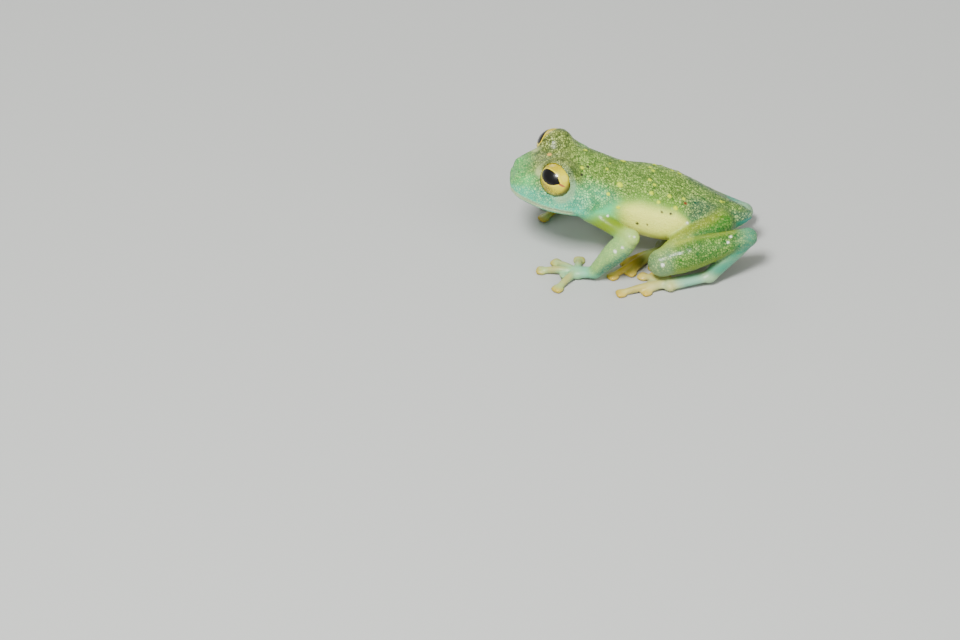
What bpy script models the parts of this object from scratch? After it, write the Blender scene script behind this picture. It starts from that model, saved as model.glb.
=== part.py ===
"""A glass frog at rest, life size, facing -X with its own left side towards -Y.

Every size below is in millimetres, with +Z up and the floor at Z = 0. At the end the whole frog is
moved so that the middle of its bounding box lies over the origin, and is scaled to metres.
Each object keeps its origin at its own root joint.
"""

import math

import bmesh
import bpy
import numpy as np
from mathutils import Matrix, Vector

MM = 0.001
GAP = 0.3
LEFT, RIGHT = -1, 1

# Trunk
SNOUT_X = -12.35
VENT_X = 11.85
NECK_X = -5.15
LIP_Z = 8.25
VENT_Z = 3.87
TRUNK_SIDES = 26
HEAD_RINGS = 15
TORSO_RINGS = 17
FLAT_TOP = 2.35
ROUND_BELLY = 2.0

# x, half width, top, widest level, bottom
TRUNK = (
    (-12.10, 1.60, 9.05, 8.25, 7.40),
    (-11.80, 2.10, 9.60, 8.25, 7.10),
    (-11.20, 2.65, 10.15, 8.15, 6.80),
    (-10.50, 3.10, 10.55, 8.05, 6.55),
    (-9.20, 3.80, 11.05, 7.90, 6.15),
    (-7.80, 4.22, 11.30, 7.75, 5.85),
    (-6.40, 4.45, 11.30, 7.60, 5.75),
    (-5.30, 4.40, 11.00, 7.40, 5.50),
    (-4.30, 4.25, 10.70, 7.10, 5.00),
    (-3.30, 4.15, 10.25, 6.80, 4.40),
    (-1.20, 3.95, 9.35, 6.20, 3.40),
    (1.70, 4.30, 8.80, 5.40, 2.45),
    (4.00, 4.20, 8.00, 4.85, 2.10),
    (6.70, 3.25, 6.75, 4.30, 1.95),
    (9.20, 2.10, 5.30, 3.90, 2.20),
    (10.90, 1.20, 4.60, 3.85, 3.00),
    (11.60, 0.60, 4.25, 3.85, 3.50),
)

# Mouth: a groove along one column of the head's rings, from the snout to the jaw's corner
MOUTH_ANGLE = math.radians(-8)
LIP_SPREAD = math.radians(9)
MOUTH_DEPTH = 0.2
MOUTH_CORNER_X = -6.4
MOUTH_FADE = 0.8
LIP_RAISE = 0.06

# The eyes, of a head turned a little to its left. The rest is as on the left side
EYE_RADIUS = 1.8
EYE_CENTRE = {LEFT: (-7.52, -2.6, 10.2), RIGHT: (-7.88, 2.6, 10.45)}
LID_LOOK = (-0.63, -0.75, 0.14)
LID_RADIUS = 2.17
LID_SETBACK = 0.12
RIM_ALONG, RIM_MAJOR, RIM_MINOR = 1.1, 1.86, 0.12
NOSTRIL = (-11.4, 1.05, 9.9)
NOSTRIL_LOOK = (-0.55, -0.6, 0.55)
NOSTRIL_MOUND, NOSTRIL_PIT = 0.34, 0.14
NOSTRIL_SINK, PIT_RAISE = 0.2, 0.2
DRUM_CENTRE = (-5.95, 4.2, 8.6)
DRUM_LOOK = (0.1, -0.95, 0.3)
DRUM_MAJOR, DRUM_MINOR = 0.45, 0.1

# The joints of the limbs, which are posed differently on each side
SHOULDER = {LEFT: (-4.3, -3.3, 6.5), RIGHT: (-4.3, 3.3, 6.5)}
ELBOW = {LEFT: (-0.4, -6.3, 5.65), RIGHT: (-0.6, 5.3, 5.0)}
WRIST = {LEFT: (-3.9, -5.5, 0.9), RIGHT: (-4.4, 6.4, 0.9)}
PALM = {LEFT: (-5.6, -5.1, 0.5), RIGHT: (-6.0, 6.5, 0.5)}
HIP = {LEFT: (8.5, -2.0, 4.2), RIGHT: (8.3, 1.9, 4.0)}
KNEE = {LEFT: (2.75, -6.6, 2.85), RIGHT: (2.7, 5.6, 2.4)}
HEEL = {LEFT: (11.3, -4.6, 4.5), RIGHT: (11.1, 3.4, 1.75)}
TARSAL = {LEFT: (7.5, -6.2, 0.9), RIGHT: (6.8, 1.5, 0.8)}
TOE_ROOT = {LEFT: (3.5, -7.1, 0.55), RIGHT: (3.0, -0.8, 0.55)}

UPPER_ARM_R = (0.95, 0.8, 0.75, 0.8)
FOREARM_R = (0.9, 1.15, 1.12, 0.9, 0.7)
THIGH_R = (1.5, 1.7, 1.55, 1.2)
SHANK_R = (1.4, 1.65, 1.5, 1.2, 0.95)
TARSUS_R = (0.9, 0.9, 0.78, 0.68)
PALM_R, PALM_FLAT = (0.6, 0.7, 0.75), 0.68
FOOT_R, FOOT_FLAT = (0.65, 0.7, 0.8), 0.68
THIGH_BOW = (0.0, 0.2, 0.25)
SHANK_BOW = (0.0, 0.15, 0.15)
UPPER_ARM_BOW = (0.1, 0.0, -0.1)
FOREARM_BOW = (0.0, 0.15, 0.1)

# Digit tips, all at DIGIT_Z. The first of each row is the innermost digit
FINGER_TIPS = {
    LEFT: ((-5.4, -2.7), (-7.7, -3.1), (-9.2, -4.4), (-7.6, -7.45)),
    RIGHT: ((-8.9, 4.4), (-8.8, 6.7), (-8.4, 8.0), (-7.0, 8.7)),
}
TOE_TIPS = {
    LEFT: ((3.2, -5.6), (2.1, -5.2), (0.9, -5.4), (-1.3, -8.2), (1.2, -8.0)),
    RIGHT: ((3.2, -3.0), (2.0, -3.9), (-0.3, -4.8), (-2.1, -5.4), (-0.9, -3.1)),
}
DIGIT_R = (0.45, 0.38, 0.32)
DIGIT_Z = 0.3
DIGIT_BOW = 0.15
ROOT_SPREAD = 0.24
DISC_HALF = (0.62, 0.3, 0.58)
DISC_Z = 0.24
WEB_SHARE = 0.42
WEB_HALF_HEIGHT = 0.26
FLOOR_CUT_SIZE = 60.0

COLOURS = {
    "skin_back": (0.33, 0.52, 0.28, 0.45, 0.0),
    "skin_limb": (0.36, 0.66, 0.45, 0.4, 0.0),
    "skin_digit": (0.72, 0.66, 0.12, 0.4, 0.0),
    "eye": (0.75, 0.56, 0.12, 0.12, 0.0),
}


def clear_scene():
    """Removes whatever the file starts with."""
    for old in list(bpy.data.objects):
        bpy.data.objects.remove(old, do_unlink=True)


def material(name):
    """A Principled material from the colour table."""
    found = bpy.data.materials.get(name)
    if found:
        return found
    red, green, blue, roughness, metallic = COLOURS[name]
    made = bpy.data.materials.new(name)
    made.use_nodes = True
    shader = made.node_tree.nodes["Principled BSDF"]
    shader.inputs["Base Color"].default_value = (red, green, blue, 1.0)
    shader.inputs["Roughness"].default_value = roughness
    shader.inputs["Metallic"].default_value = metallic
    return made


def through(points, count):
    """A smooth curve through the rows of points: Catmull-Rom, count rows long."""
    rows = np.asarray(points, float)
    padded = np.vstack([2 * rows[0] - rows[1], rows, 2 * rows[-1] - rows[-2]])
    place = np.linspace(0, len(rows) - 1, count)
    first = np.minimum(place.astype(int), len(rows) - 2)
    t = (place - first)[:, None]
    a, b, c, d = (padded[first + k] for k in range(4))
    return 0.5 * (
        2 * b + (c - a) * t + (2 * a - 5 * b + 4 * c - d) * t**2 + (3 * b - a - 3 * c + d) * t**3
    )


def as_object(name, shape):
    """An object in the scene from a bmesh, which is freed."""
    bmesh.ops.triangulate(shape, faces=shape.faces)
    mesh = bpy.data.meshes.new(name)
    shape.to_mesh(mesh)
    shape.free()
    made = bpy.data.objects.new(name, mesh)
    bpy.context.scene.collection.objects.link(made)
    return made


def closed_loft(name, rings, first_pole, last_pole):
    """One closed mesh: rings bridged in turn, with a fan to a pole at each end."""
    sides = len(rings[0])
    points = [tuple(p) for ring in rings for p in ring] + [tuple(first_pole), tuple(last_pole)]
    start, end = len(points) - 2, len(points) - 1
    faces = []
    for row in range(len(rings) - 1):
        for k in range(sides):
            here, across = row * sides + k, row * sides + (k + 1) % sides
            faces.append((here, across, across + sides, here + sides))
    last = (len(rings) - 1) * sides
    for k in range(sides):
        faces.append((start, (k + 1) % sides, k))
        faces.append((end, last + k, last + (k + 1) % sides))
    mesh = bpy.data.meshes.new(name)
    mesh.from_pydata(points, [], faces)
    shape = bmesh.new()
    shape.from_mesh(mesh)
    bpy.data.meshes.remove(mesh)
    bmesh.ops.recalc_face_normals(shape, faces=shape.faces)
    return as_object(name, shape)


def ring_angles():
    """Even angles round the trunk, with the nearest three moved to the lip, mouth and chin."""
    angles = np.linspace(-math.pi / 2, 1.5 * math.pi, TRUNK_SIDES, endpoint=False)
    for side_angle, turn in ((MOUTH_ANGLE, 1), (math.pi - MOUTH_ANGLE, -1)):
        middle = int(np.argmin(abs(angles - side_angle)))
        angles[middle] = side_angle
        angles[middle + turn] = side_angle + turn * LIP_SPREAD
        angles[middle - turn] = side_angle - turn * LIP_SPREAD
    return angles


def trunk_rows(count, start_x, end_x):
    """Rows of the trunk's table, smoothed, evenly spaced from start_x to end_x."""
    fine = through(TRUNK, 400)
    x = np.linspace(start_x, end_x, count)
    return np.column_stack([x] + [np.interp(x, fine[:, 0], fine[:, k]) for k in range(1, 5)])


def trunk_ring(row, grow, mouth):
    """One cross-section: a superellipse, flatter above and round below, with the mouth's groove."""
    x, half_width, top, wide, bottom = row
    angles = ring_angles()
    across, above = np.cos(angles), np.sin(angles)
    power = np.where(above > 0, 2 / FLAT_TOP, 2 / ROUND_BELLY)
    height = np.where(above > 0, top - wide, wide - bottom) + grow
    y = (half_width + grow) * np.sign(across) * abs(across) ** power
    z = wide + height * np.sign(above) * abs(above) ** power
    if mouth:
        fade = np.clip((MOUTH_CORNER_X - x) / MOUTH_FADE, 0, 1)
        inwards = np.zeros_like(angles)
        for side_angle in (MOUTH_ANGLE, math.pi - MOUTH_ANGLE):
            away = abs(angles - side_angle)
            inwards += np.where(away < 1e-6, MOUTH_DEPTH, 0) * fade
            inwards -= np.where(abs(away - LIP_SPREAD) < 1e-6, LIP_RAISE, 0) * fade
        shrink = 1 - inwards / max(half_width, 1.0)
        y, z = y * shrink, wide + (z - wide) * shrink
    return np.column_stack([np.full_like(y, x), y, z])


def trunk_part(name, start_x, end_x, count, grow=0.0, mouth=False):
    """A length of the trunk with a flat or a rounded end, as the length runs to the neck or past it."""
    at_snout, at_vent = start_x <= TRUNK[0][0], end_x >= TRUNK[-1][0]
    rows = trunk_rows(count, max(start_x, TRUNK[0][0]), min(end_x, TRUNK[-1][0]))
    rings = [trunk_ring(row, grow, mouth) for row in rows]
    first = (SNOUT_X - grow, 0, LIP_Z) if at_snout else rings[0].mean(0)
    last = (VENT_X + grow, 0, VENT_Z) if at_vent else rings[-1].mean(0)
    return closed_loft(name, rings, first, last)


def frames_along(path, up):
    """Tangent, side and upper directions at each point of a path."""
    tangent = np.gradient(path, axis=0)
    tangent /= np.linalg.norm(tangent, axis=1)[:, None]
    side = np.cross(np.asarray(up, float), tangent)
    side /= np.linalg.norm(side, axis=1)[:, None]
    return tangent, side, np.cross(tangent, side)


def limb(name, joints, radii, rings=7, sides=10, up=(0, 0, 1), flat=1.0, grow=0.0, bow=None):
    """A round or flattened tube through its joints, with a dome on each end.

    radii are spread evenly along it. flat is its height over its width. bow pushes the middle out.
    """
    joints = np.asarray(joints, float)
    if bow is not None:
        middle = (joints[0] + joints[-1]) / 2 + np.asarray(bow, float)
        joints = np.vstack([joints[0], middle, joints[-1]])
    path = through(joints, rings)
    size = through(np.asarray(radii, float)[:, None], rings)[:, 0] + grow
    tangent, side, upper = frames_along(path, up)
    reach = size * flat
    dome = math.radians(48)
    first = (path[0] - tangent[0] * reach[0] * math.sin(dome), size[0] * math.cos(dome), 0)
    last = (path[-1] + tangent[-1] * reach[-1] * math.sin(dome), size[-1] * math.cos(dome), -1)
    stations = [first] + [(path[k], size[k], k) for k in range(rings)] + [last]
    angles = np.linspace(0, 2 * math.pi, sides, endpoint=False)[:, None]
    loops = []
    for centre, radius, k in stations:
        wide = side[k] * radius * np.cos(angles)
        tall = upper[k] * radius * flat * np.sin(angles)
        loops.append(centre + wide + tall)
    first_pole = path[0] - tangent[0] * reach[0]
    last_pole = path[-1] + tangent[-1] * reach[-1]
    return closed_loft(name, loops, first_pole, last_pole)


def ball(name, centre, radii, look=(0, 0, 1), segments=16, rings=10):
    """An ellipsoid of three radii whose third axis points along look."""
    shape = bmesh.new()
    bmesh.ops.create_uvsphere(shape, u_segments=segments, v_segments=rings, radius=1.0)
    turn = Vector(look).to_track_quat("Z", "Y").to_matrix().to_4x4()
    place = Matrix.Translation(centre) @ turn @ Matrix.Diagonal((*radii, 1.0))
    bmesh.ops.transform(shape, matrix=place, verts=shape.verts)
    return as_object(name, shape)


def rim(name, centre, look, major, minor, around=20, sides=6):
    """A ring of round section about the axis look."""
    turn = Vector(look).to_track_quat("Z", "Y").to_matrix()
    shape = bmesh.new()
    loops = []
    for k in range(around):
        a = 2 * math.pi * k / around
        loop = []
        for j in range(sides):
            b = 2 * math.pi * j / sides
            reach = major + minor * math.cos(b)
            point = Vector((reach * math.cos(a), reach * math.sin(a), minor * math.sin(b)))
            loop.append(shape.verts.new(Vector(centre) + turn @ point))
        loops.append(loop)
    for k, loop in enumerate(loops):
        after = loops[(k + 1) % around]
        for j in range(sides):
            i = (j + 1) % sides
            shape.faces.new((loop[j], after[j], after[i], loop[i]))
    bmesh.ops.recalc_face_normals(shape, faces=shape.faces)
    return as_object(name, shape)


def keep_largest(mesh):
    """Leaves only the closed surface with the most volume."""
    shape = bmesh.new()
    shape.from_mesh(mesh)
    left, groups = set(shape.faces), []
    while left:
        seed = left.pop()
        group, edge_of_group = [seed], [seed]
        while edge_of_group:
            face = edge_of_group.pop()
            for edge in face.edges:
                for other in edge.link_faces:
                    if other in left:
                        left.discard(other)
                        group.append(other)
                        edge_of_group.append(other)
        groups.append(group)

    def volume(group):
        total = 0.0
        for face in group:
            corners = [v.co for v in face.verts]
            for k in range(1, len(corners) - 1):
                total += corners[0].dot(corners[k].cross(corners[k + 1])) / 6
        return total

    groups.sort(key=volume)
    drop = [face for group in groups[:-1] for face in group]
    bmesh.ops.delete(shape, geom=drop, context="FACES")
    bmesh.ops.triangulate(shape, faces=shape.faces)
    shape.to_mesh(mesh)
    shape.free()


def combine(target, others, operation):
    """Joins others to target, or cuts them from it, in one applied Boolean, and removes them."""
    tools = bpy.data.collections.new(target.name + "_tools")
    for other in others:
        tools.objects.link(other)
    step = target.modifiers.new(operation.lower(), "BOOLEAN")
    step.operation = operation
    step.operand_type = "COLLECTION"
    step.collection = tools
    step.solver = "EXACT"
    graph = bpy.context.evaluated_depsgraph_get()
    result = bpy.data.meshes.new_from_object(target.evaluated_get(graph))
    target.modifiers.clear()
    target.data = result
    for other in others:
        bpy.data.objects.remove(other, do_unlink=True)
    bpy.data.collections.remove(tools)
    keep_largest(result)
    return target


def union(target, others):
    return combine(target, others, "UNION")


def cut(target, others):
    return combine(target, others, "DIFFERENCE")


def mirrored(direction, side):
    """A direction given for the left side, turned over for the right."""
    return Vector((direction[0], -side * direction[1], direction[2])).normalized()


def placed(point, side):
    """A point given by its distance from the middle plane, on the side asked for."""
    return Vector((point[0], side * point[1], point[2]))


def bowed(bow, side):
    """A limb's outward bow, on the side asked for."""
    return (bow[0], side * bow[1], bow[2])


def eye(name, side, grow=0.0):
    size = EYE_RADIUS + grow
    return ball(name, Vector(EYE_CENTRE[side]), (size, size, size), mirrored(LID_LOOK, side), 20, 12)


def head(grow=0.0):
    """The head with its mouth line, lids, nostrils and ear drums, and a socket for each eye."""
    end_x = NECK_X - GAP / 2 + grow
    shape = trunk_part("head", SNOUT_X, end_x, HEAD_RINGS, grow, mouth=not grow)
    if grow:
        return shape
    added, removed = [], []
    for side in (LEFT, RIGHT):
        look = mirrored(LID_LOOK, side)
        centre = Vector(EYE_CENTRE[side])
        lid_size = (LID_RADIUS, LID_RADIUS, LID_RADIUS)
        added.append(ball("lid", centre - look * LID_SETBACK, lid_size, look, 18, 10))
        added.append(rim("lid_rim", centre + look * RIM_ALONG, look, RIM_MAJOR, RIM_MINOR, 18))
        nostril = placed(NOSTRIL, side)
        outwards = mirrored(NOSTRIL_LOOK, side)
        mound = (NOSTRIL_MOUND, NOSTRIL_MOUND, NOSTRIL_MOUND)
        added.append(ball("nostril", nostril - outwards * NOSTRIL_SINK, mound, outwards, 8, 6))
        pit = (NOSTRIL_PIT, NOSTRIL_PIT, NOSTRIL_PIT)
        removed.append(ball("nostril_pit", nostril + outwards * PIT_RAISE, pit, outwards, 8, 6))
        drum_look = mirrored(DRUM_LOOK, side)
        added.append(rim("drum", placed(DRUM_CENTRE, side), drum_look, DRUM_MAJOR, DRUM_MINOR, 12))
        removed.append(eye("socket", side, GAP))
    union(shape, added)
    return cut(shape, removed)


def torso(grow=0.0):
    return trunk_part("torso", NECK_X + GAP / 2 - grow, VENT_X, TORSO_RINGS, grow)


def side_name(part, side):
    return f"{part}_{'left' if side == LEFT else 'right'}"


def upper_arm(side, grow=0.0):
    joints = (SHOULDER[side], ELBOW[side])
    return limb(side_name("upper_arm", side), joints, UPPER_ARM_R, grow=grow, bow=UPPER_ARM_BOW)


def forearm(side, grow=0.0):
    joints = (ELBOW[side], WRIST[side])
    bow = bowed(FOREARM_BOW, side)
    name = side_name("forearm", side)
    return limb(name, joints, FOREARM_R, up=(0, side, 0.3), grow=grow, bow=bow)


def thigh(side, grow=0.0):
    joints = (HIP[side], KNEE[side])
    bow = bowed(THIGH_BOW, side)
    return limb(side_name("thigh", side), joints, THIGH_R, 8, 12, grow=grow, bow=bow)


def shank(side, grow=0.0):
    joints = (KNEE[side], HEEL[side])
    bow = bowed(SHANK_BOW, side)
    return limb(side_name("shank", side), joints, SHANK_R, 9, 12, grow=grow, bow=bow)


def tarsus(side, grow=0.0):
    joints = (HEEL[side], TARSAL[side])
    return limb(side_name("tarsus", side), joints, TARSUS_R, grow=grow)


def digit(root, tip):
    """One finger or toe: a thin tube that bows up a little, with a flat disc at the floor."""
    root, tip = Vector(root), Vector((tip[0], tip[1], DIGIT_Z))
    middle = root.lerp(tip, 0.5) + Vector((0, 0, DIGIT_BOW))
    along = (tip - root).normalized()
    bone = limb("digit", (root, middle, tip - along * DIGIT_R[-1]), DIGIT_R, rings=5, sides=7)
    level = Vector((along.x, along.y, 0)).normalized()
    pad = ball("disc", Vector((tip.x, tip.y, DISC_Z)), DISC_HALF, level, 8, 8)
    return [bone, pad]


def web(first_root, first_tip, second_root, second_tip):
    """The skin between two digits: a flat tongue that widens from the roots part of the way out."""
    roots = (Vector(first_root) + Vector(second_root)) / 2
    first = Vector(first_root).lerp(Vector((*first_tip, DIGIT_Z)), WEB_SHARE)
    second = Vector(second_root).lerp(Vector((*second_tip, DIGIT_Z)), WEB_SHARE)
    half = max((first - second).length / 2, WEB_HALF_HEIGHT)
    ends = (roots, (first + second) / 2)
    return limb("web", ends, (half, half), rings=3, sides=8, flat=WEB_HALF_HEIGHT / half)


def floor_block():
    """Everything below the floor, which leaves small flats where a foot rests."""
    shape = bmesh.new()
    bmesh.ops.create_cube(shape, size=FLOOR_CUT_SIZE)
    bmesh.ops.translate(shape, verts=shape.verts, vec=(0, 0, -FLOOR_CUT_SIZE / 2))
    return as_object("floor_cut", shape)


def end_pad(name, wrist, palm, radii, flat, tips, side):
    """A palm or sole with its digits fanned out from the end of it, webbed, and flat below."""
    pad = limb(name, (wrist, palm), radii, rings=5, flat=flat)
    forward = Vector(palm) - Vector(wrist)
    across = Vector((forward.y, -forward.x, 0)).normalized() * side
    middle = (len(tips) - 1) / 2
    roots = [Vector(palm) + across * ROOT_SPREAD * (middle - k) for k in range(len(tips))]
    pieces = []
    for root, tip in zip(roots, tips):
        pieces += digit(root, tip)
    for k in range(1, len(tips) - 1):
        pieces.append(web(roots[k], tips[k], roots[k + 1], tips[k + 1]))
    union(pad, pieces)
    return cut(pad, [floor_block()])


def hand(side):
    name = side_name("hand", side)
    return end_pad(name, WRIST[side], PALM[side], PALM_R, PALM_FLAT, FINGER_TIPS[side], side)


def foot(side):
    name = side_name("foot", side)
    return end_pad(name, TARSAL[side], TOE_ROOT[side], FOOT_R, FOOT_FLAT, TOE_TIPS[side], side)


def build():
    """Makes every node, then sets the frog over the origin in metres."""
    clear_scene()
    nodes = [(head(), (NECK_X, 0, LIP_Z), "skin_back"), (torso(), (NECK_X, 0, LIP_Z), "skin_back")]
    for side in (LEFT, RIGHT):
        arm = cut(upper_arm(side), [torso(GAP), head(GAP), forearm(side, GAP)])
        fore = cut(forearm(side), [torso(GAP)])
        palm = cut(hand(side), [forearm(side, GAP)])
        leg = cut(thigh(side), [torso(GAP), shank(side, GAP)])
        calf = cut(shank(side), [torso(GAP)])
        ankle = cut(tarsus(side), [shank(side, GAP), torso(GAP)])
        sole = cut(foot(side), [tarsus(side, GAP)])
        nodes.append((eye(side_name("eye", side), side), Vector(EYE_CENTRE[side]), "eye"))
        nodes.append((arm, SHOULDER[side], "skin_limb"))
        nodes.append((fore, ELBOW[side], "skin_limb"))
        nodes.append((palm, WRIST[side], "skin_digit"))
        nodes.append((leg, HIP[side], "skin_back"))
        nodes.append((calf, KNEE[side], "skin_limb"))
        nodes.append((ankle, HEEL[side], "skin_limb"))
        nodes.append((sole, TARSAL[side], "skin_digit"))
    corners = np.array([tuple(v.co) for made, _, _ in nodes for v in made.data.vertices])
    low, high = corners.min(0), corners.max(0)
    shift = -Vector(((low[0] + high[0]) / 2, (low[1] + high[1]) / 2, low[2]))
    for made, pivot, colour in nodes:
        finish_node(made, Vector(pivot), shift, colour)


def finish_node(made, pivot, shift, colour):
    """Gives a node its joint as origin, its place in metres and its material."""
    made.data.transform(Matrix.Translation(-pivot))
    made.data.transform(Matrix.Scale(MM, 4))
    made.location = (pivot + shift) * MM
    made.data.materials.clear()
    made.data.materials.append(material(colour))
    made.data.shade_smooth()


build()
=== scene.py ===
import math

import bpy
import numpy as np
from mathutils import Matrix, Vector


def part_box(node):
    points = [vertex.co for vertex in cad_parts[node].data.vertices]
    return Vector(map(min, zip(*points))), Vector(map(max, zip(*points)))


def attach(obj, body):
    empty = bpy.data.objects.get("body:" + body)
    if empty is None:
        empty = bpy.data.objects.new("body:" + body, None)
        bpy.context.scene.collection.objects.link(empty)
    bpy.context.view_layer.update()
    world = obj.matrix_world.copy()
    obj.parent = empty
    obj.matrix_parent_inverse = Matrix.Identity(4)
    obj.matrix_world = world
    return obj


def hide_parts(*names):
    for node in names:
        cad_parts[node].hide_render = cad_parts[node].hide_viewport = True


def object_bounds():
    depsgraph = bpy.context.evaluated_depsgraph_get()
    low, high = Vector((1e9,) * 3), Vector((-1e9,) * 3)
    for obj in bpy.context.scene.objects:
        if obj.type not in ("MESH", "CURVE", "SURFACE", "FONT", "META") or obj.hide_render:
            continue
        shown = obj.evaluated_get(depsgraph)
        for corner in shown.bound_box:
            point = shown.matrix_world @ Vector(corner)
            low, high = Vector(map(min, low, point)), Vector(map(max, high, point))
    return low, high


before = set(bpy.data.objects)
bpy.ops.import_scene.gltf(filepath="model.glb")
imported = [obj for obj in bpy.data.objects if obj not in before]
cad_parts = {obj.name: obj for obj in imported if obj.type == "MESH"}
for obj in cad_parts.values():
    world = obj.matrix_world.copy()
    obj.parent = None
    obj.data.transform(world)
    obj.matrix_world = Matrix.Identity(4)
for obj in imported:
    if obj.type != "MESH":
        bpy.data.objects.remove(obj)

CAD_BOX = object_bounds()

# Everything down to the camera is in millimetres, with the floor at Z = 0.
MM = 0.001
LEFT, RIGHT = -1, 1
SIDES = {"left": LEFT, "right": RIGHT}

# Trunk: x, half width, top, widest level, bottom
TRUNK = (
    (-12.10, 1.60, 9.05, 8.25, 7.40),
    (-11.80, 2.10, 9.60, 8.25, 7.10),
    (-11.20, 2.65, 10.15, 8.15, 6.80),
    (-10.50, 3.10, 10.55, 8.05, 6.55),
    (-9.20, 3.80, 11.05, 7.90, 6.15),
    (-7.80, 4.22, 11.30, 7.75, 5.85),
    (-6.40, 4.45, 11.30, 7.60, 5.75),
    (-5.30, 4.40, 11.00, 7.40, 5.50),
    (-4.30, 4.25, 10.70, 7.10, 5.00),
    (-3.30, 4.15, 10.25, 6.80, 4.40),
    (-1.20, 3.95, 9.35, 6.20, 3.40),
    (1.70, 4.30, 8.80, 5.40, 2.45),
    (4.00, 4.20, 8.00, 4.85, 2.10),
    (6.70, 3.25, 6.75, 4.30, 1.95),
    (9.20, 2.10, 5.30, 3.90, 2.20),
    (10.90, 1.20, 4.60, 3.85, 3.00),
    (11.60, 0.60, 4.25, 3.85, 3.50),
)
SNOUT_X, VENT_X = -12.35, 11.85
FLAT_TOP, ROUND_BELLY = 2.35, 2.0
TRUNK_ROWS, END_ROWS = 400, 12

EYE_RADIUS = 1.8
EYE_CENTRE = {LEFT: (-7.52, -2.6, 10.2), RIGHT: (-7.88, 2.6, 10.45)}
LID_LOOK = (-0.63, -0.75, 0.14)
GAZE = {LEFT: (-0.54, -0.61, 0.58), RIGHT: (-0.68, 0.36, 0.64)}
SLIT = (0.683, -0.719, -0.118)
LID_RADIUS, LID_SETBACK = 1.97, 0.12
LID_PLANE = 0.45
LID_OPENING = 1.74
TEMPLE = ((-6.0, 3.1, 10.1), (-5.2, 3.6, 9.3), (-4.3, 3.9, 8.2))
NOSTRIL = (-11.4, 1.05, 9.9)
NOSTRIL_LOOK = (-0.55, -0.6, 0.55)
DRUM_CENTRE = (-5.95, 4.2, 8.6)
MOUTH_ANGLE = math.radians(-8)
MOUTH_CORNER_X = -6.2

SHOULDER = {LEFT: (-4.3, -3.3, 6.5), RIGHT: (-4.3, 3.3, 6.5)}
ELBOW = {LEFT: (-0.4, -6.3, 5.65), RIGHT: (-0.6, 5.3, 5.0)}
WRIST = {LEFT: (-3.9, -5.5, 0.9), RIGHT: (-4.4, 6.4, 0.9)}
PALM = {LEFT: (-5.6, -5.1, 0.5), RIGHT: (-6.0, 6.5, 0.5)}
HIP = {LEFT: (8.5, -2.0, 4.2), RIGHT: (8.3, 1.5, 3.7)}
KNEE = {LEFT: (2.75, -6.6, 2.85), RIGHT: (2.7, 5.6, 2.4)}
HEEL = {LEFT: (11.3, -4.6, 4.5), RIGHT: (11.1, 3.4, 1.75)}
TARSAL = {LEFT: (7.5, -6.2, 0.9), RIGHT: (6.8, 1.5, 0.8)}
TOE_ROOT = {LEFT: (3.5, -7.1, 0.55), RIGHT: (3.0, -0.8, 0.55)}

UPPER_ARM_R = (0.95, 0.8, 0.75, 0.8)
FOREARM_R = (0.9, 1.15, 1.12, 0.9, 0.7)
THIGH_R = (1.5, 1.7, 1.55, 1.2)
SHANK_R = (1.4, 1.65, 1.5, 1.2, 0.95)
TARSUS_R = (0.9, 0.9, 0.78, 0.68)
PALM_R, PALM_FLAT = (0.6, 0.7, 0.75), 0.68
FOOT_R, FOOT_FLAT = (0.65, 0.7, 0.8), 0.68
THIGH_BOW = (0.0, 0.2, 0.25)
SHANK_BOW = (0.0, 0.15, 0.15)
UPPER_ARM_BOW = (0.1, 0.0, -0.1)
FOREARM_BOW = (0.0, 0.15, 0.1)

FINGER_TIPS = {
    LEFT: ((-5.4, -2.7), (-7.7, -3.1), (-9.2, -4.4), (-7.6, -7.45)),
    RIGHT: ((-8.9, 4.4), (-8.8, 6.7), (-8.4, 8.0), (-7.0, 8.7)),
}
TOE_TIPS = {
    LEFT: ((3.2, -5.6), (2.1, -5.2), (0.9, -5.4), (-1.3, -8.2), (1.2, -8.0)),
    RIGHT: ((3.2, -3.0), (2.0, -3.9), (-0.3, -4.8), (-2.1, -5.4), (-0.9, -3.1)),
}
DIGIT_R = (0.45, 0.38, 0.32)
DIGIT_Z, DIGIT_BOW, ROOT_SPREAD = 0.3, 0.15, 0.24
DISC_HALF = (0.58, 0.3, 0.52)
DISC_Z = 0.24
WEB_SHARE, WEB_HALF_HEIGHT = 0.42, 0.26

# How softly each part of a limb joins what is nearer the body, in mm
BLEND = {
    "upper_arm": 0.5,
    "forearm": 0.2,
    "thigh": 0.5,
    "far_thigh": 0.2,
    "shank": 0.12,
    "tarsus": 0.14,
    "palm": 0.3,
    "sole": 0.3,
    "digit": 0.14,
    "disc": 0.16,
    "web": 0.12,
}
DISC_REACH = 0.65

# The head's own shapes, in mm: the lids, the folds behind the eyes, the ridges from the eyes to the
# nostrils, the nostrils' mounds and pits, and the sockets
HEAD_END_X = -3.5
LID_BLEND, LID_EDGE_BLEND = 0.6, 0.12
TEMPLE_RADIUS, TEMPLE_BLEND = 0.5, 0.7
RIDGE_START, RIDGE_DROP = (-0.9, -0.5, -0.3), 0.35
RIDGE_RADIUS, RIDGE_BLEND = 0.42, 0.5
MOUND_RADIUS, MOUND_DEPTH, MOUND_BLEND = 0.3, 0.14, 0.3
PIT_RADIUS, PIT_HEIGHT, PIT_BLEND = 0.12, 0.17, 0.08
SOCKET_GAP, SOCKET_BLEND = 0.02, 0.06
FLOOR_BLEND = 0.04

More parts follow.
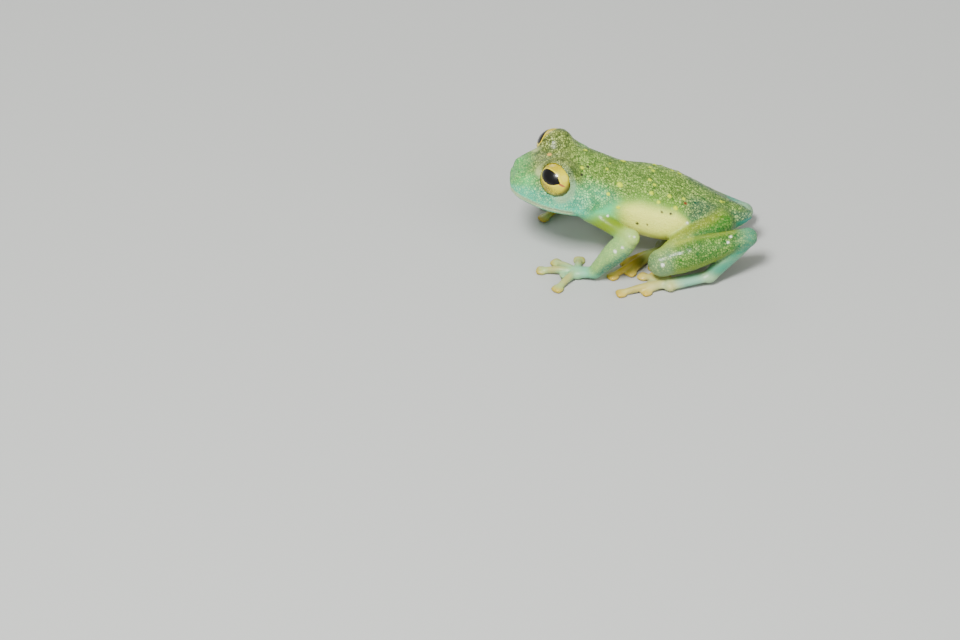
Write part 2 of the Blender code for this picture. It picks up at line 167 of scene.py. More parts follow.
# The mouth's groove and lips and the ear drums' rims, in mm
FACE_END_X = -5.2
MOUTH_ROWS, MOUTH_SHORT = 26, 0.12
GROOVE_DEPTH, GROOVE_WIDTH = 0.10, 0.10
LIP_HEIGHT, LIP_WIDTH, LIP_AWAY, LOWER_LIP_SHARE = 0.05, 0.13, 0.26, 0.7
DRUM_LOOK, DRUM_RADIUS = (0.1, -0.95, 0.3), 0.42
DRUM_HEIGHT, DRUM_WIDTH = 0.05, 0.14

# The skin's grain: three crossed directions, the waves' length and height, and where it fades in
GRAIN_WAYS = np.array(((0.8, 0.6, 0.0), (-0.36, 0.48, 0.8), (0.48, -0.64, 0.6)))
GRAIN_LENGTH, GRAIN_HEIGHT = 0.45, 0.014
GRAIN_FADE_Z = (1.0, 3.0)

# The grid that the skin is taken from, in mm, worked out a slab at a time, and the steps that then
# move its points onto the surface
CELL = 0.126
GRID_LOW, GRID_HIGH = (-12.75, -9.6, -0.25), (12.75, 9.6, 12.9)
SLAB_ROWS, POLISH_STEPS, LEAST_SLOPE = 24, 2, 0.2
# The room round each part of the limbs, and the distance taken for points outside it
MARGIN, OUT_OF_REACH = 0.9, 5.0
# Added or kept to, so that nothing is divided by zero
THINNEST, LEAST_HEIGHT, TINY = 0.03, 0.3, 1e-6

# Marks seen in the picture: x along the body, height up the picture and radius
WARTS = (
    (-5.2, 7.7, 0.24), (-2.7, 7.6, 0.20), (-1.45, 6.0, 0.34), (1.65, 7.8, 0.20), (4.6, 7.2, 0.24),
    (1.55, 6.5, 0.22), (1.7, 5.2, 0.24), (3.5, 4.9, 0.24), (2.4, 4.3, 0.20), (4.1, 3.7, 0.24),
    (-2.6, 5.1, 0.22), (-1.6, 3.8, 0.20), (8.7, 4.4, 0.20),
)
PINK_WART = (-8.4, 9.0, 0.26)
RED_SPECK = (5.1, 4.2, 0.20)
SPECKS = (
    (-4.6, 7.8, 0.20), (-5.25, 7.0, 0.22), RED_SPECK, (5.9, 5.2, 0.13), (2.7, 3.3, 0.14),
    (3.6, 3.15, 0.15), (0.3, 2.2, 0.17), (1.3, 2.1, 0.13),
)
# Glints: painted highlights, white spots for the shine of the wet skin
GLINTS = (
    (-1.21, -0.24, 0.15), (-0.01, 0.83, 0.11), (9.59, 0.89, 0.15), (9.27, 0.30, 0.15),
    (5.27, 2.26, 0.14), (2.80, -1.94, 0.20), (-2.64, 2.92, 0.14), (-1.92, -0.60, 0.20),
)
# The far side's copies of warts and specks are moved along, so that they don't look mirrored
FAR_WART_SHIFT, FAR_SPECK_SHIFT = (0.4, 0, 0), (-0.5, 0, 0)
# A wart's height and width and how far it reaches, in radii
WART_HEIGHT, WART_WIDTH, WART_REACH = 0.4, 0.9, 3

# The picture's view: from 37 degrees above, its distance in metres, and the start, end and step of
# the rays into it in mm
VIEW_RISE = math.radians(37)
VIEW_AWAY = 0.9
PICTURE_UP = np.array((0, math.sin(VIEW_RISE), math.cos(VIEW_RISE)))
RAY_START, RAY_END, RAY_STEP = -14, 12, 0.04

# Where the pale flank ends above, as a share of the height from the widest level to the top
FLANK_X = (-3.2, -2.4, -1.3, 0.5, 2.3, 4.1, 5.1, 6.2)
FLANK_RISE = (0.15, 0.38, 0.58, 0.70, 0.70, 0.69, 0.55, 0.20)


def unit(v):
    v = np.asarray(v, float)
    return v / np.linalg.norm(v)


def mirrored(direction, side):
    """A direction given for the left side, turned over for the right."""
    return unit((direction[0], -side * direction[1], direction[2]))


def placed(point, side):
    """A point given by its distance from the middle plane, on the side asked for."""
    return np.array((point[0], side * point[1], point[2]))


def through(points, count):
    """A smooth curve through the rows of points: Catmull-Rom, count rows long."""
    rows = np.asarray(points, float)
    padded = np.vstack([2 * rows[0] - rows[1], rows, 2 * rows[-1] - rows[-2]])
    place = np.linspace(0, len(rows) - 1, count)
    first = np.minimum(place.astype(int), len(rows) - 2)
    t = (place - first)[:, None]
    a, b, c, d = (padded[first + k] for k in range(4))
    return 0.5 * (
        2 * b + (c - a) * t + (2 * a - 5 * b + 4 * c - d) * t**2 + (3 * b - a - 3 * c + d) * t**3
    )


def smooth_min(a, b, k):
    """The lower of two fields, rounded where they are within k of each other."""
    h = np.maximum(k - np.abs(a - b), 0) / k
    return np.minimum(a, b) - h * h * k / 4


def smooth_max(a, b, k):
    """The higher of two fields, rounded in the same way."""
    return -smooth_min(-a, -b, k)


def near(x, middle, spread):
    """A bell of height 1 at middle."""
    return np.exp(-(((x - middle) / spread) ** 2))


def step(x, low, high):
    """0 below low, 1 above high, smooth between, for low < high or the other way round."""
    t = np.clip((x - low) / (high - low), 0, 1)
    return t * t * (3 - 2 * t)


def trunk_table():
    """The trunk's rows made fine, with a rounded end added at the snout and the vent.

    At a share s of the way to the tip, an end is sqrt(1 - s^2) as wide and high as where it starts.
    """
    fine = through(TRUNK, TRUNK_ROWS)
    ends = []
    for row, tip in ((fine[0], SNOUT_X), (fine[-1], VENT_X)):
        share = np.linspace(0.995, 0.1, END_ROWS)
        round_off = np.sqrt(1 - share**2)
        x = row[0] + (tip - row[0]) * share
        middle = row[3]
        columns = [x, row[1] * round_off, middle + (row[2] - middle) * round_off]
        columns += [np.full_like(x, middle), middle + (row[4] - middle) * round_off]
        ends.append(np.column_stack(columns))
    return np.vstack([ends[0], fine, ends[1][::-1]])


TABLE = trunk_table()


def trunk(p):
    """Each cross-section is a superellipse, flatter above and round below.

    With r the superellipse radius of a point (1 on the outline), the field is (r - 1) / |grad r|.
    """
    x = p[:, 0]
    w, top, wide, bottom = (np.interp(x, TABLE[:, 0], TABLE[:, k]) for k in range(1, 5))
    rise = p[:, 2] - wide
    above = rise > 0
    h = np.maximum(np.where(above, top - wide, wide - bottom), THINNEST)
    w = np.maximum(w, THINNEST)
    power = np.where(above, FLAT_TOP, ROUND_BELLY)
    y, z = np.abs(p[:, 1]) / w + TINY, np.abs(rise) / h + TINY
    r = (y**power + z**power) ** (1 / power)
    slope = np.hypot((y / r) ** (power - 1) / w, (z / r) ** (power - 1) / h)
    return np.maximum((r - 1) / slope, np.maximum(SNOUT_X - x, x - VENT_X))


def tube(p, path, radius, flat=1.0):
    """The distance to the nearest segment of a path, less the radius there.

    A flat below 1 squashes the tube upright. The mean of 1 and flat then scales the distance back.
    """
    squash = np.array((1, 1, 1 / flat))
    q, path = p * squash, path * squash
    best = np.full(len(p), np.inf)
    for a, b, ra, rb in zip(path[:-1], path[1:], radius[:-1], radius[1:]):
        ab = b - a
        t = np.clip((q - a) @ ab / (ab @ ab), 0, 1)
        away = q - a - t[:, None] * ab
        best = np.minimum(best, np.sqrt((away**2).sum(1)) - ra - (rb - ra) * t)
    return best * (flat + 1) / 2


def pad(p, centre, axes, half):
    """A flat pad, rounded in height and squared off in outline.

    The radius k of a point in the pad's own units gives the distance k (k - 1) / |grad|.
    """
    q = (p - centre) @ np.asarray(axes).T
    across, high, along = np.abs(q / half).T
    k0 = np.sqrt((across**3 + along**3) ** (2 / 3) + high**2) + TINY
    k1 = np.sqrt(((q / np.square(half)) ** 2).sum(1)) + TINY
    return k0 * (k0 - 1) / k1


def ring(p, centre, axis, radius):
    """The distance to a circle about axis."""
    q = p - centre
    along = q @ axis
    out = np.sqrt(np.maximum((q**2).sum(1) - along**2, 0))
    return np.hypot(out - radius, along)


class Part:
    """One volume of the skin: its field, its box, how softly it joins and the zone it belongs to."""

    def __init__(self, zone, field, points, reach, blend):
        self.zone, self.field, self.blend = zone, field, blend
        points = np.atleast_2d(points)
        self.low = points.min(0) - reach - MARGIN
        self.high = points.max(0) + reach + MARGIN

    def holds(self, p):
        return ((p > self.low) & (p < self.high)).all(1)


def limb_part(zone, joints, radii, blend, bow=None, flat=1.0, count=10):
    """A tube through its joints; bow pushes its middle out."""
    joints = np.asarray(joints, float)
    if bow is not None:
        middle = (joints[0] + joints[-1]) / 2 + np.asarray(bow, float)
        joints = np.vstack([joints[0], middle, joints[-1]])
    path = through(joints, count)
    size = through(np.asarray(radii, float)[:, None], count)[:, 0]
    return Part(zone, lambda p: tube(p, path, size, flat), path, size.max(), blend)


def bone(side, zone, first, last, radii, blend, bow=None):
    """A part of a limb between two joints; the bow's Y is outwards."""
    if bow is not None:
        bow = np.array(bow) * (1, side, 1)
    return limb_part(zone, (first[side], last[side]), radii, blend, bow)


def pad_parts(name, wrist, palm, radii, flat, tips, side):
    """A palm or sole, its digits fanned out from the end, their discs and the webs between them."""
    shade = "" if side == LEFT else "far_"
    parts = [limb_part(shade + name, (wrist, palm), radii, BLEND[name], flat=flat, count=5)]
    forward = np.subtract(palm, wrist)
    across = unit((forward[1], -forward[0], 0)) * side
    middle = (len(tips) - 1) / 2
    roots = [np.array(palm) + across * ROOT_SPREAD * (middle - k) for k in range(len(tips))]
    ends = [np.array((*tip, DIGIT_Z)) for tip in tips]
    for root, tip in zip(roots, ends):
        along = unit(tip - root)
        mid = (root + tip) / 2 + (0, 0, DIGIT_BOW)
        joints = (root, mid, tip - along * DIGIT_R[-1])
        parts.append(limb_part(shade + "digit", joints, DIGIT_R, BLEND["digit"], count=7))
        level = unit((along[0], along[1], 0))
        centre = np.array((tip[0], tip[1], DISC_Z))
        axes = ((-level[1], level[0], 0), (0, 0, 1), level)

        def disc(p, centre=centre, axes=axes):
            return pad(p, centre, axes, DISC_HALF)

        parts.append(Part(shade + "disc", disc, centre, DISC_REACH, BLEND["disc"]))
    for k in range(1, len(tips) - 1):
        first = roots[k] + (ends[k] - roots[k]) * WEB_SHARE
        second = roots[k + 1] + (ends[k + 1] - roots[k + 1]) * WEB_SHARE
        half = max(np.linalg.norm(first - second) / 2, WEB_HALF_HEIGHT)
        spine = ((roots[k] + roots[k + 1]) / 2, (first + second) / 2)
        web_flat = WEB_HALF_HEIGHT / half
        parts.append(limb_part(shade + "web", spine, (half, half), BLEND["web"], flat=web_flat, count=3))
    return parts


def limb_parts():
    """Every part of the four limbs, from the body outwards."""
    parts = []
    for side in (LEFT, RIGHT):
        far = "" if side == LEFT else "far_"
        parts += [
            bone(side, "upper_arm", SHOULDER, ELBOW, UPPER_ARM_R, BLEND["upper_arm"], UPPER_ARM_BOW),
            bone(side, "forearm", ELBOW, WRIST, FOREARM_R, BLEND["forearm"], FOREARM_BOW),
        ]
        parts += pad_parts("palm", WRIST[side], PALM[side], PALM_R, PALM_FLAT, FINGER_TIPS[side], side)
        parts += [
            bone(side, "thigh", HIP, KNEE, THIGH_R, BLEND[far + "thigh"], THIGH_BOW),
            bone(side, far + "shank", KNEE, HEEL, SHANK_R, BLEND["shank"], SHANK_BOW),
            bone(side, "tarsus", HEEL, TARSAL, TARSUS_R, BLEND["tarsus"]),
        ]
        parts += pad_parts("sole", TARSAL[side], TOE_ROOT[side], FOOT_R, FOOT_FLAT, TOE_TIPS[side], side)
    return parts


PARTS = limb_parts()


def mouth_path():
    """The line of the mouth: the trunk's outline at one angle, from corner to corner past the snout."""
    x = np.linspace(MOUTH_CORNER_X, SNOUT_X + MOUTH_SHORT, MOUTH_ROWS)
    w, wide, bottom = (np.interp(x, TABLE[:, 0], TABLE[:, k]) for k in (1, 3, 4))
    y = w * math.cos(MOUTH_ANGLE)
    z = wide + (wide - bottom) * math.sin(MOUTH_ANGLE)
    near_side = np.column_stack([x, -y, z])
    return np.vstack([near_side, near_side[::-1] * (1, -1, 1)])


MOUTH = mouth_path()


def head_shape(p, f):
    """Adds the lids, the folds behind and before them and the nostrils, and cuts the sockets."""
    rows = p[:, 0] < HEAD_END_X
    q, g = p[rows], f[rows]
    for side in (LEFT, RIGHT):
        look = mirrored(LID_LOOK, side)
        eye = np.array(EYE_CENTRE[side])
        lid = np.linalg.norm(q - eye + look * LID_SETBACK, axis=1) - LID_RADIUS
        lid = smooth_max(lid, (q - eye) @ look - LID_PLANE, LID_EDGE_BLEND)
        g = smooth_min(g, lid, LID_BLEND)
        temple = through([placed(point, side) for point in TEMPLE], 6)
        g = smooth_min(g, tube(q, temple, np.full(len(temple), TEMPLE_RADIUS)), TEMPLE_BLEND)
        nostril = placed(NOSTRIL, side)
        ridge = through((eye + placed(RIDGE_START, side), nostril - (0, 0, RIDGE_DROP)), 4)
        g = smooth_min(g, tube(q, ridge, np.full(len(ridge), RIDGE_RADIUS)), RIDGE_BLEND)
        outwards = mirrored(NOSTRIL_LOOK, side)
        mound = nostril - outwards * MOUND_DEPTH
        g = smooth_min(g, np.linalg.norm(q - mound, axis=1) - MOUND_RADIUS, MOUND_BLEND)
        pit = nostril + outwards * PIT_HEIGHT
        g = smooth_max(g, PIT_RADIUS - np.linalg.norm(q - pit, axis=1), PIT_BLEND)
        g = smooth_max(g, EYE_RADIUS + SOCKET_GAP - np.linalg.norm(q - eye, axis=1), SOCKET_BLEND)
    f[rows] = g
    return f


def solid(p, details=True):
    """The whole skin's field at points p: negative inside, about the distance in mm near the surface."""
    f = head_shape(p, trunk(p))
    for part in PARTS:
        held = part.holds(p)
        if held.any():
            f[held] = smooth_min(f[held], part.field(p[held]), part.blend)
    if details:
        f = f + creases(p)
    return smooth_max(f, -p[:, 2], FLOOR_BLEND)


def creases(p):
    """Small additions to the field: the grain, the mouth's groove and lips, the ear drums and warts.

    The grain is the product of three sine waves in crossed directions. The others are bells across
    a line or round a point, taken off the field where they stand out and added where they cut in.
    """
    waves = np.sin(p @ (GRAIN_WAYS.T * (2 * math.pi / GRAIN_LENGTH)))
    extra = -GRAIN_HEIGHT * waves.prod(1) * step(p[:, 2], *GRAIN_FADE_Z)
    face = p[:, 0] < FACE_END_X
    q = p[face]
    away = tube(q, MOUTH, np.zeros(len(MOUTH)))
    line = MOUTH[:MOUTH_ROWS][::-1]
    above = q[:, 2] > np.interp(q[:, 0], line[:, 0], line[:, 2])
    lips = LIP_HEIGHT * near(away, LIP_AWAY, LIP_WIDTH) * np.where(above, 1, LOWER_LIP_SHARE)
    extra[face] += GROOVE_DEPTH * near(away, 0, GROOVE_WIDTH) - lips
    for side in (LEFT, RIGHT):
        from_rim = ring(q, placed(DRUM_CENTRE, side), mirrored(DRUM_LOOK, side), DRUM_RADIUS)
        extra[face] -= DRUM_HEIGHT * near(from_rim, 0, DRUM_WIDTH)
    for centre, size in zip(WART_CENTRES, WART_SIZES):
        close = np.abs(p - centre).max(1) < WART_REACH * size
        bell = near(np.linalg.norm(p[close] - centre, axis=1), 0, WART_WIDTH * size)
        extra[close] -= WART_HEIGHT * size * bell
    return extra


def from_picture(marks):
    """Places marks on the skin nearest the viewer: a ray through each, stepped until it is inside."""
    marks = np.asarray(marks, float)
    depth = np.arange(RAY_START, RAY_END, RAY_STEP)
    x = np.repeat(marks[:, 0], len(depth))
    up = np.repeat(marks[:, 1], len(depth))
    along = np.tile(depth, len(marks))
    rise, level = math.cos(VIEW_RISE), math.sin(VIEW_RISE)
    p = np.column_stack([x, up * level + along * rise, up * rise - along * level])
    inside = (solid(p, details=False) < 0).reshape(len(marks), -1)
    first = inside.argmax(1) + np.arange(len(marks)) * len(depth)
    return p[first]


# The pink wart stands close to the middle, so it has no copy on the far side
NEAR_WARTS, PINK_CENTRE = from_picture(WARTS), from_picture([PINK_WART])
FAR_WARTS = NEAR_WARTS * (1, -1, 1) + FAR_WART_SHIFT
WART_CENTRES = np.vstack([NEAR_WARTS, FAR_WARTS, PINK_CENTRE])
WART_SIZES = np.array([row[2] for row in (*WARTS, *WARTS, PINK_WART)])
NEAR_SPECKS = from_picture(SPECKS)
SPECK_CENTRES = np.vstack([NEAR_SPECKS, NEAR_SPECKS * (1, -1, 1) + FAR_SPECK_SHIFT])
SPECK_SIZES = np.tile([row[2] for row in SPECKS], 2)
GLINT_CENTRES = from_picture(GLINTS)


def surface_net(values, low, cell):
    """The zero level of a grid of values as quads.

    Each cell that the level crosses gets one point, the mean of the crossings on its edges. Each
    grid edge that the level crosses gives one quad, of the four cells round it, facing outwards.
    """
    inside = values < 0
    count = np.zeros(np.array(values.shape) - 1, np.int8)
    corners = [(a, b, c) for a in (0, 1) for b in (0, 1) for c in (0, 1)]
    for a, b, c in corners:
        count += inside[a : a - 1 or None, b : b - 1 or None, c : c - 1 or None]
    cells = np.argwhere((count > 0) & (count < 8))
    total, hits = np.zeros(cells.shape), np.zeros(len(cells))
    for one in corners:
        for axis in range(3):
            if one[axis]:
                continue
            other = np.array(one)
            other[axis] = 1
            va = values[tuple((cells + one).T)]
            vb = values[tuple((cells + other).T)]
            cross = (va < 0) != (vb < 0)
            t = np.where(cross, va / np.where(cross, va - vb, 1), 0)
            total += np.where(cross[:, None], one + t[:, None] * (other - one), 0)
            hits += cross
    points = low + cell * (cells + total / hits[:, None])
    number = np.full(count.shape, -1, np.int64)
    number[tuple(cells.T)] = np.arange(len(cells))
    quads = []
    for axis in range(3):
        u, v = (axis + 1) % 3, (axis + 2) % 3
        ends = np.moveaxis(inside, axis, 0)
        cross = np.argwhere(np.moveaxis(ends[:-1] != ends[1:], 0, axis))
        cross = cross[(cross[:, u] > 0) & (cross[:, v] > 0)]
        faces = []
        for du, dv in ((-1, -1), (0, -1), (0, 0), (-1, 0)):
            at = cross.copy()
            at[:, u] += du
            at[:, v] += dv
            faces.append(number[tuple(at.T)])
        faces = np.column_stack(faces)
        outward = inside[tuple(cross.T)]
        quads.append(np.where(outward[:, None], faces, faces[:, ::-1]))
    return points, np.vstack(quads)


def slope(p, h=0.02):
    """The field's gradient by central differences, h mm to each side."""
    columns = []
    for axis in range(3):
        move = np.zeros(3)
        move[axis] = h
        columns.append((solid(p + move) - solid(p - move)) / (2 * h))
    return np.column_stack(columns)


def skin_surface():
    """The skin's points and quads, with the points moved onto the exact zero level."""
    low = np.array(GRID_LOW)
    axes = [np.arange(a, b, CELL) for a, b in zip(GRID_LOW, GRID_HIGH)]
    values = np.empty([len(a) for a in axes])
    for k in range(0, len(axes[0]), SLAB_ROWS):
        block = np.meshgrid(axes[0][k : k + SLAB_ROWS], axes[1], axes[2], indexing="ij")
        p = np.column_stack([b.ravel() for b in block])
        values[k : k + SLAB_ROWS] = solid(p).reshape(block[0].shape)
    points, quads = surface_net(values, low, CELL)
    for _ in range(POLISH_STEPS):
        g = slope(points)
        move = g * (solid(points) / np.maximum((g**2).sum(1), LEAST_SLOPE))[:, None]
        points = points - np.clip(move, -CELL / 2, CELL / 2)
    return points, quads, g / np.maximum(np.linalg.norm(g, axis=1), TINY)[:, None]


def to_frame(points):
    """Moves points from this file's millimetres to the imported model's place, in metres."""
    low, high = (np.array(corner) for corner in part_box("eye_left"))
    offset = (low + high) / 2 - np.array(EYE_CENTRE[LEFT]) * MM
    return points * MM + offset


def make_piece(name, points, faces, material, nodes, attributes=None, uv=None):
    """One closed, smooth mesh at the origin, with its attributes, riding on the body."""
    low, high = (np.array(corner) for corner in CAD_BOX)
    place = np.clip(to_frame(points), low, high)
    mesh = bpy.data.meshes.new(name)
    mesh.from_pydata(place.tolist(), [], faces)
    mesh.shade_smooth()
    for key, value in (attributes or {}).items():
        if value.ndim == 2:
            layer = mesh.attributes.new(key, "FLOAT_COLOR", "POINT")
            layer.data.foreach_set("color", np.column_stack([value, np.ones(len(value))]).ravel())
        else:
            layer = mesh.attributes.new(key, "FLOAT", "POINT")
            layer.data.foreach_set("value", value)
    if uv is not None:
        corner = np.empty(len(mesh.loops), np.int32)
        mesh.loops.foreach_get("vertex_index", corner)
        mesh.uv_layers.new(name="plane").data.foreach_set("uv", uv[corner].ravel())
    mesh.materials.append(material)
    piece = bpy.data.objects.new(name, mesh)
    bpy.context.scene.collection.objects.link(piece)
    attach(piece, "root")
    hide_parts(*nodes)
    return piece


def linear(red, green, blue):
    """A colour given as it looks on a screen, from 0 to 255, in linear light: the sRGB curve."""
    c = np.array((red, green, blue)) / 255
    return np.where(c <= 0.04045, c / 12.92, ((c + 0.055) / 1.055) ** 2.4)


# Colours of the zones
BACK = linear(106, 168, 44)
HEAD_TOP = linear(92, 120, 30)
CHEEK = linear(56, 236, 190)
SNOUT = linear(84, 232, 128)
TEAL = linear(48, 232, 156)
FLANK = linear(246, 252, 112)
BELLY = linear(232, 234, 150)
RUMP = linear(0, 120, 88)
BLUE = linear(40, 150, 150)
LIMB = linear(24, 126, 12)
FOREARM = linear(160, 214, 118)
PALE = linear(44, 140, 112)
SOLE = linear(118, 176, 146)
EDGE = linear(132, 152, 0)
ARM = linear(112, 138, 0)
DIGIT = linear(190, 156, 0)
SHADED = linear(52, 84, 16)
LIP = linear(226, 248, 196)
LID_BACK = linear(150, 188, 142)
LID_LOW = linear(196, 208, 140)
LID_TOP = linear(120, 136, 52)
LID_EDGE = linear(66, 74, 24)
LID_INNER = linear(206, 184, 30)
WART = linear(208, 226, 0)
PINK = linear(226, 168, 70)
DARK = linear(44, 46, 26)
RED = linear(128, 48, 22)
NET = linear(84, 108, 100)
GRANULE = linear(226, 238, 132)
IRIS = linear(190, 172, 0)
IRIS_REAR = linear(222, 212, 0)
IRIS_RING = linear(240, 222, 50)
IRIS_NET = linear(104, 84, 4)
IRIS_LOW = linear(84, 84, 4)
CORNER = linear(170, 92, 52)
GLINT = linear(240, 244, 226)
PUPIL = (0.002, 0.002, 0.002)

# Every mark's centre, radius and colour
SPOT_CENTRES = np.vstack([WART_CENTRES, SPECK_CENTRES, GLINT_CENTRES])
SPOT_SIZES = np.concatenate([WART_SIZES, SPECK_SIZES, [row[2] for row in GLINTS]])
SPOT_COLOURS = [WART] * (2 * len(WARTS)) + [PINK]
SPOT_COLOURS += [RED if row == RED_SPECK else DARK for row in SPECKS] * 2
SPOT_COLOURS += [GLINT] * len(GLINTS)

# Where colours and dots lie: the value where each is gone, the value where it is full, and how
# strong it then is. The values are X, or the rise (1 on the trunk's top line, 0 at its widest
# level, -1 below), or how far the surface faces up the picture, or a distance in mm. Round the
# eye, behind, upper and lower are parts of a direction, and a spot's are in radii
SPAN = {
    "head_top": (-4.5, -7.5, 1),
    "teal_rear": (-0.6, -3.2, 1),
    "teal_front": (-8.0, -5.6, 1),
    "teal_rise": (0.95, 0.6, 0.9),
    "snout": (-8.8, -10.4, 1),
    "snout_rise": (1.0, 0.75, 1),
    "snout_tip": (-9.0, -12.0, 0.8),
    "cheek": (-3.9, -5.4, 1),
    "cheek_rise": (0.72, 0.3, 1),
    "rump": (4.4, 6.4, 1),
    "rump_rise": (1.04, 0.9, 1),
    "vent": (10.4, 11.6, 0.5),
    "flank_front": (-2.8, 0.0, 1),
    "flank_rear": (7.4, 5.6, 1),
    "flank_top": (0.12, -0.28, 1),
    "belly": (-3.8, -1.8, 1),
    "belly_rise": (-0.3, -0.75, 1),
    "margin": (0.52, 0.86, 0.8),
    "low_margin": (-0.45, -0.85, 1),
    "thigh_margin": (0.25, 0.7, 1),
    "thigh_rear": (10.0, 7.5, 1),
    "shank_front": (4.4, 3.2, 0.75),
    "shank_rear": (9.6, 11.2, 0.75),
    "far_shank_rear": (7.5, 10.5, 0.75),
    "far_toes": (1.5, -0.6, 1),
    "lips": (0.42, 0.16, 0.95),
    "lips_front": (-5.4, -6.6, 1),
    "lips_rise": (0.3, 0.0, 1),
    "back_dots": (-0.1, 0.25, 1),
    "bare_snout": (-9.2, -10.6, 0.25),
    "cheek_dots": (-3.4, -4.4, 0.6),
    "cheek_dots_rise": (0.4, 0.1, 1),
    # The nostril's painted shade, by distance from its hole in mm
    "nostril": (0.17, 0.1, 0.8),
    "lid": (0.95, 0.5, 1),
    "lid_behind": (0.0, 0.6, 1),
    "lid_upper": (0.1, 0.6, 1),
    "lid_lower": (-0.2, -0.6, 1),
    "lid_inner": (0.34, 0.2, 1),
    "lid_edge": (0.14, 0.05, 1),
    "spot": (1.15, 0.75, 1),
}

# Strengths of single colours, and the nostril's height in mm. The lid loses some of its top colour
# and of its dark edge behind the eye
ZONE_SOFTNESS = 0.22
TARSUS_SOLE, DIGIT_YELLOW, WEB_YELLOW = 0.6, 0.7, 0.45
HOLE_HEIGHT = 0.1
LID_TINT, LID_BARE = 0.85, 0.8
LESS_TOP_BEHIND, LESS_EDGE_BEHIND = 0.7, 0.8

# How raised the grain is and how strong the dots are in each zone
GRAIN_SHARE = {
    "trunk": 1,
    "shank": 0.8,
    "far_shank": 0.8,
    "thigh": 0.6,
    "forearm": 0.6,
    "tarsus": 0.25,
}
DOT_SHARE = {"shank": 0.7, "far_shank": 0.7, "thigh": 0.5, "forearm": 0.45}


def span(value, name):
    """The strength at each value of what SPAN names."""
    gone, full, strength = SPAN[name]
    return strength * step(value, gone, full)


def mix(a, b, share):
    """Colour a with a share of colour b, at each point or once for all."""
    share = np.asarray(share)[..., None]
    return a * (1 - share) + b * share


def zone_shares(p):
    """How much of each point belongs to each zone, by how near the zones' own surfaces are.

    A zone d mm further off than the nearest weighs exp(-d / ZONE_SOFTNESS); weights add up to 1.
    """
    zones = {"trunk": head_shape(p, trunk(p))}
    for part in PARTS:
        held = part.holds(p)
        away = zones.setdefault(part.zone, np.full(len(p), OUT_OF_REACH))
        away[held] = np.minimum(away[held], part.field(p[held]))
    nearest = np.minimum.reduce(list(zones.values()))
    weight = {zone: np.exp((nearest - away) / ZONE_SOFTNESS) for zone, away in zones.items()}
    total = sum(weight.values())
    return {zone: value / total for zone, value in weight.items()}


def trunk_tint(x, rise, over_flank):
    """The trunk's colours, each laid over those before it."""
    tint = mix(BACK, HEAD_TOP, span(x, "head_top"))
    tint = mix(tint, TEAL, span(x, "teal_rear") * span(x, "teal_front") * span(rise, "teal_rise"))
    low_snout = np.maximum(span(rise, "snout_rise"), span(x, "snout_tip"))
    tint = mix(tint, SNOUT, span(x, "snout") * low_snout)
    tint = mix(tint, CHEEK, span(x, "cheek") * span(rise, "cheek_rise"))
    tint = mix(tint, RUMP, span(x, "rump") * span(rise, "rump_rise"))
    tint = mix(tint, BLUE, span(x, "vent"))
    flank = span(x, "flank_front") * span(x, "flank_rear") * span(over_flank, "flank_top")
    tint = mix(tint, FLANK, flank)
    return mix(tint, BELLY, span(x, "belly") * span(rise, "belly_rise"))


def limb_tints(x, facing, margin):
    """The colour of each zone of the limbs."""
    low = span(facing, "low_margin")
    thigh_margin = span(facing, "thigh_margin") * span(x, "thigh_rear")
    shank = mix(LIMB, EDGE, margin)
    shank = mix(shank, PALE, span(x, "shank_front") + span(x, "shank_rear"))
    return {
        "upper_arm": mix(ARM, EDGE, low),
        "forearm": mix(FOREARM, PALE, low),
        "palm": SOLE,
        "thigh": mix(LIMB, EDGE, thigh_margin),
        "shank": shank,
        "tarsus": mix(PALE, SOLE, TARSUS_SOLE * low),
        "sole": SOLE,
        "digit": mix(SOLE, DIGIT, DIGIT_YELLOW),
        "web": mix(SOLE, DIGIT, WEB_YELLOW),
        "disc": DIGIT,
        "far_shank": mix(shank, BLUE, span(x, "far_shank_rear")),
        "far_palm": SHADED,
        "far_sole": SHADED,
        "far_web": SHADED,
        "far_digit": mix(SHADED, DIGIT, span(x, "far_toes")),
        "far_disc": DIGIT,
    }


def paint_eye(p, side, tint, dots):
    """Lays a nostril's painted shade and the colours of an eye's lids, and thins the dots on the lower
    lid.

    The edge of the lids is a circle LID_OPENING out from the eye's look and LID_PLANE along it.
    """
    # The nostril's hole is painted dark: painted shade in its pit
    hole = placed(NOSTRIL, side) + mirrored(NOSTRIL_LOOK, side) * HOLE_HEIGHT
    tint = mix(tint, DARK, span(np.linalg.norm(p - hole, axis=1), "nostril"))
    look = mirrored(LID_LOOK, side)
    q = p - np.array(EYE_CENTRE[side])
    along = q @ look
    radial = q - along[:, None] * look
    out = np.linalg.norm(radial, axis=1)
    radial = radial / np.maximum(out, TINY)[:, None]
    from_edge = np.hypot(out - LID_OPENING, along - LID_PLANE)
    lid = span(from_edge, "lid")
    behind = span(radial[:, 0], "lid_behind")
    upper = span(radial[:, 2], "lid_upper")
    lower = span(radial[:, 2], "lid_lower") * (1 - behind)
    lid_tint = mix(LID_LOW, LID_BACK, behind)
    lid_tint = mix(lid_tint, LID_TOP, upper * (1 - LESS_TOP_BEHIND * behind))
    tint = mix(tint, lid_tint, LID_TINT * lid)
    tint = mix(tint, LID_INNER, span(from_edge, "lid_inner") * lower)
    tint = mix(tint, LID_EDGE, span(from_edge, "lid_edge") * (1 - LESS_EDGE_BEHIND * behind))
    return tint, dots * (1 - LID_BARE * lid * (1 - upper))


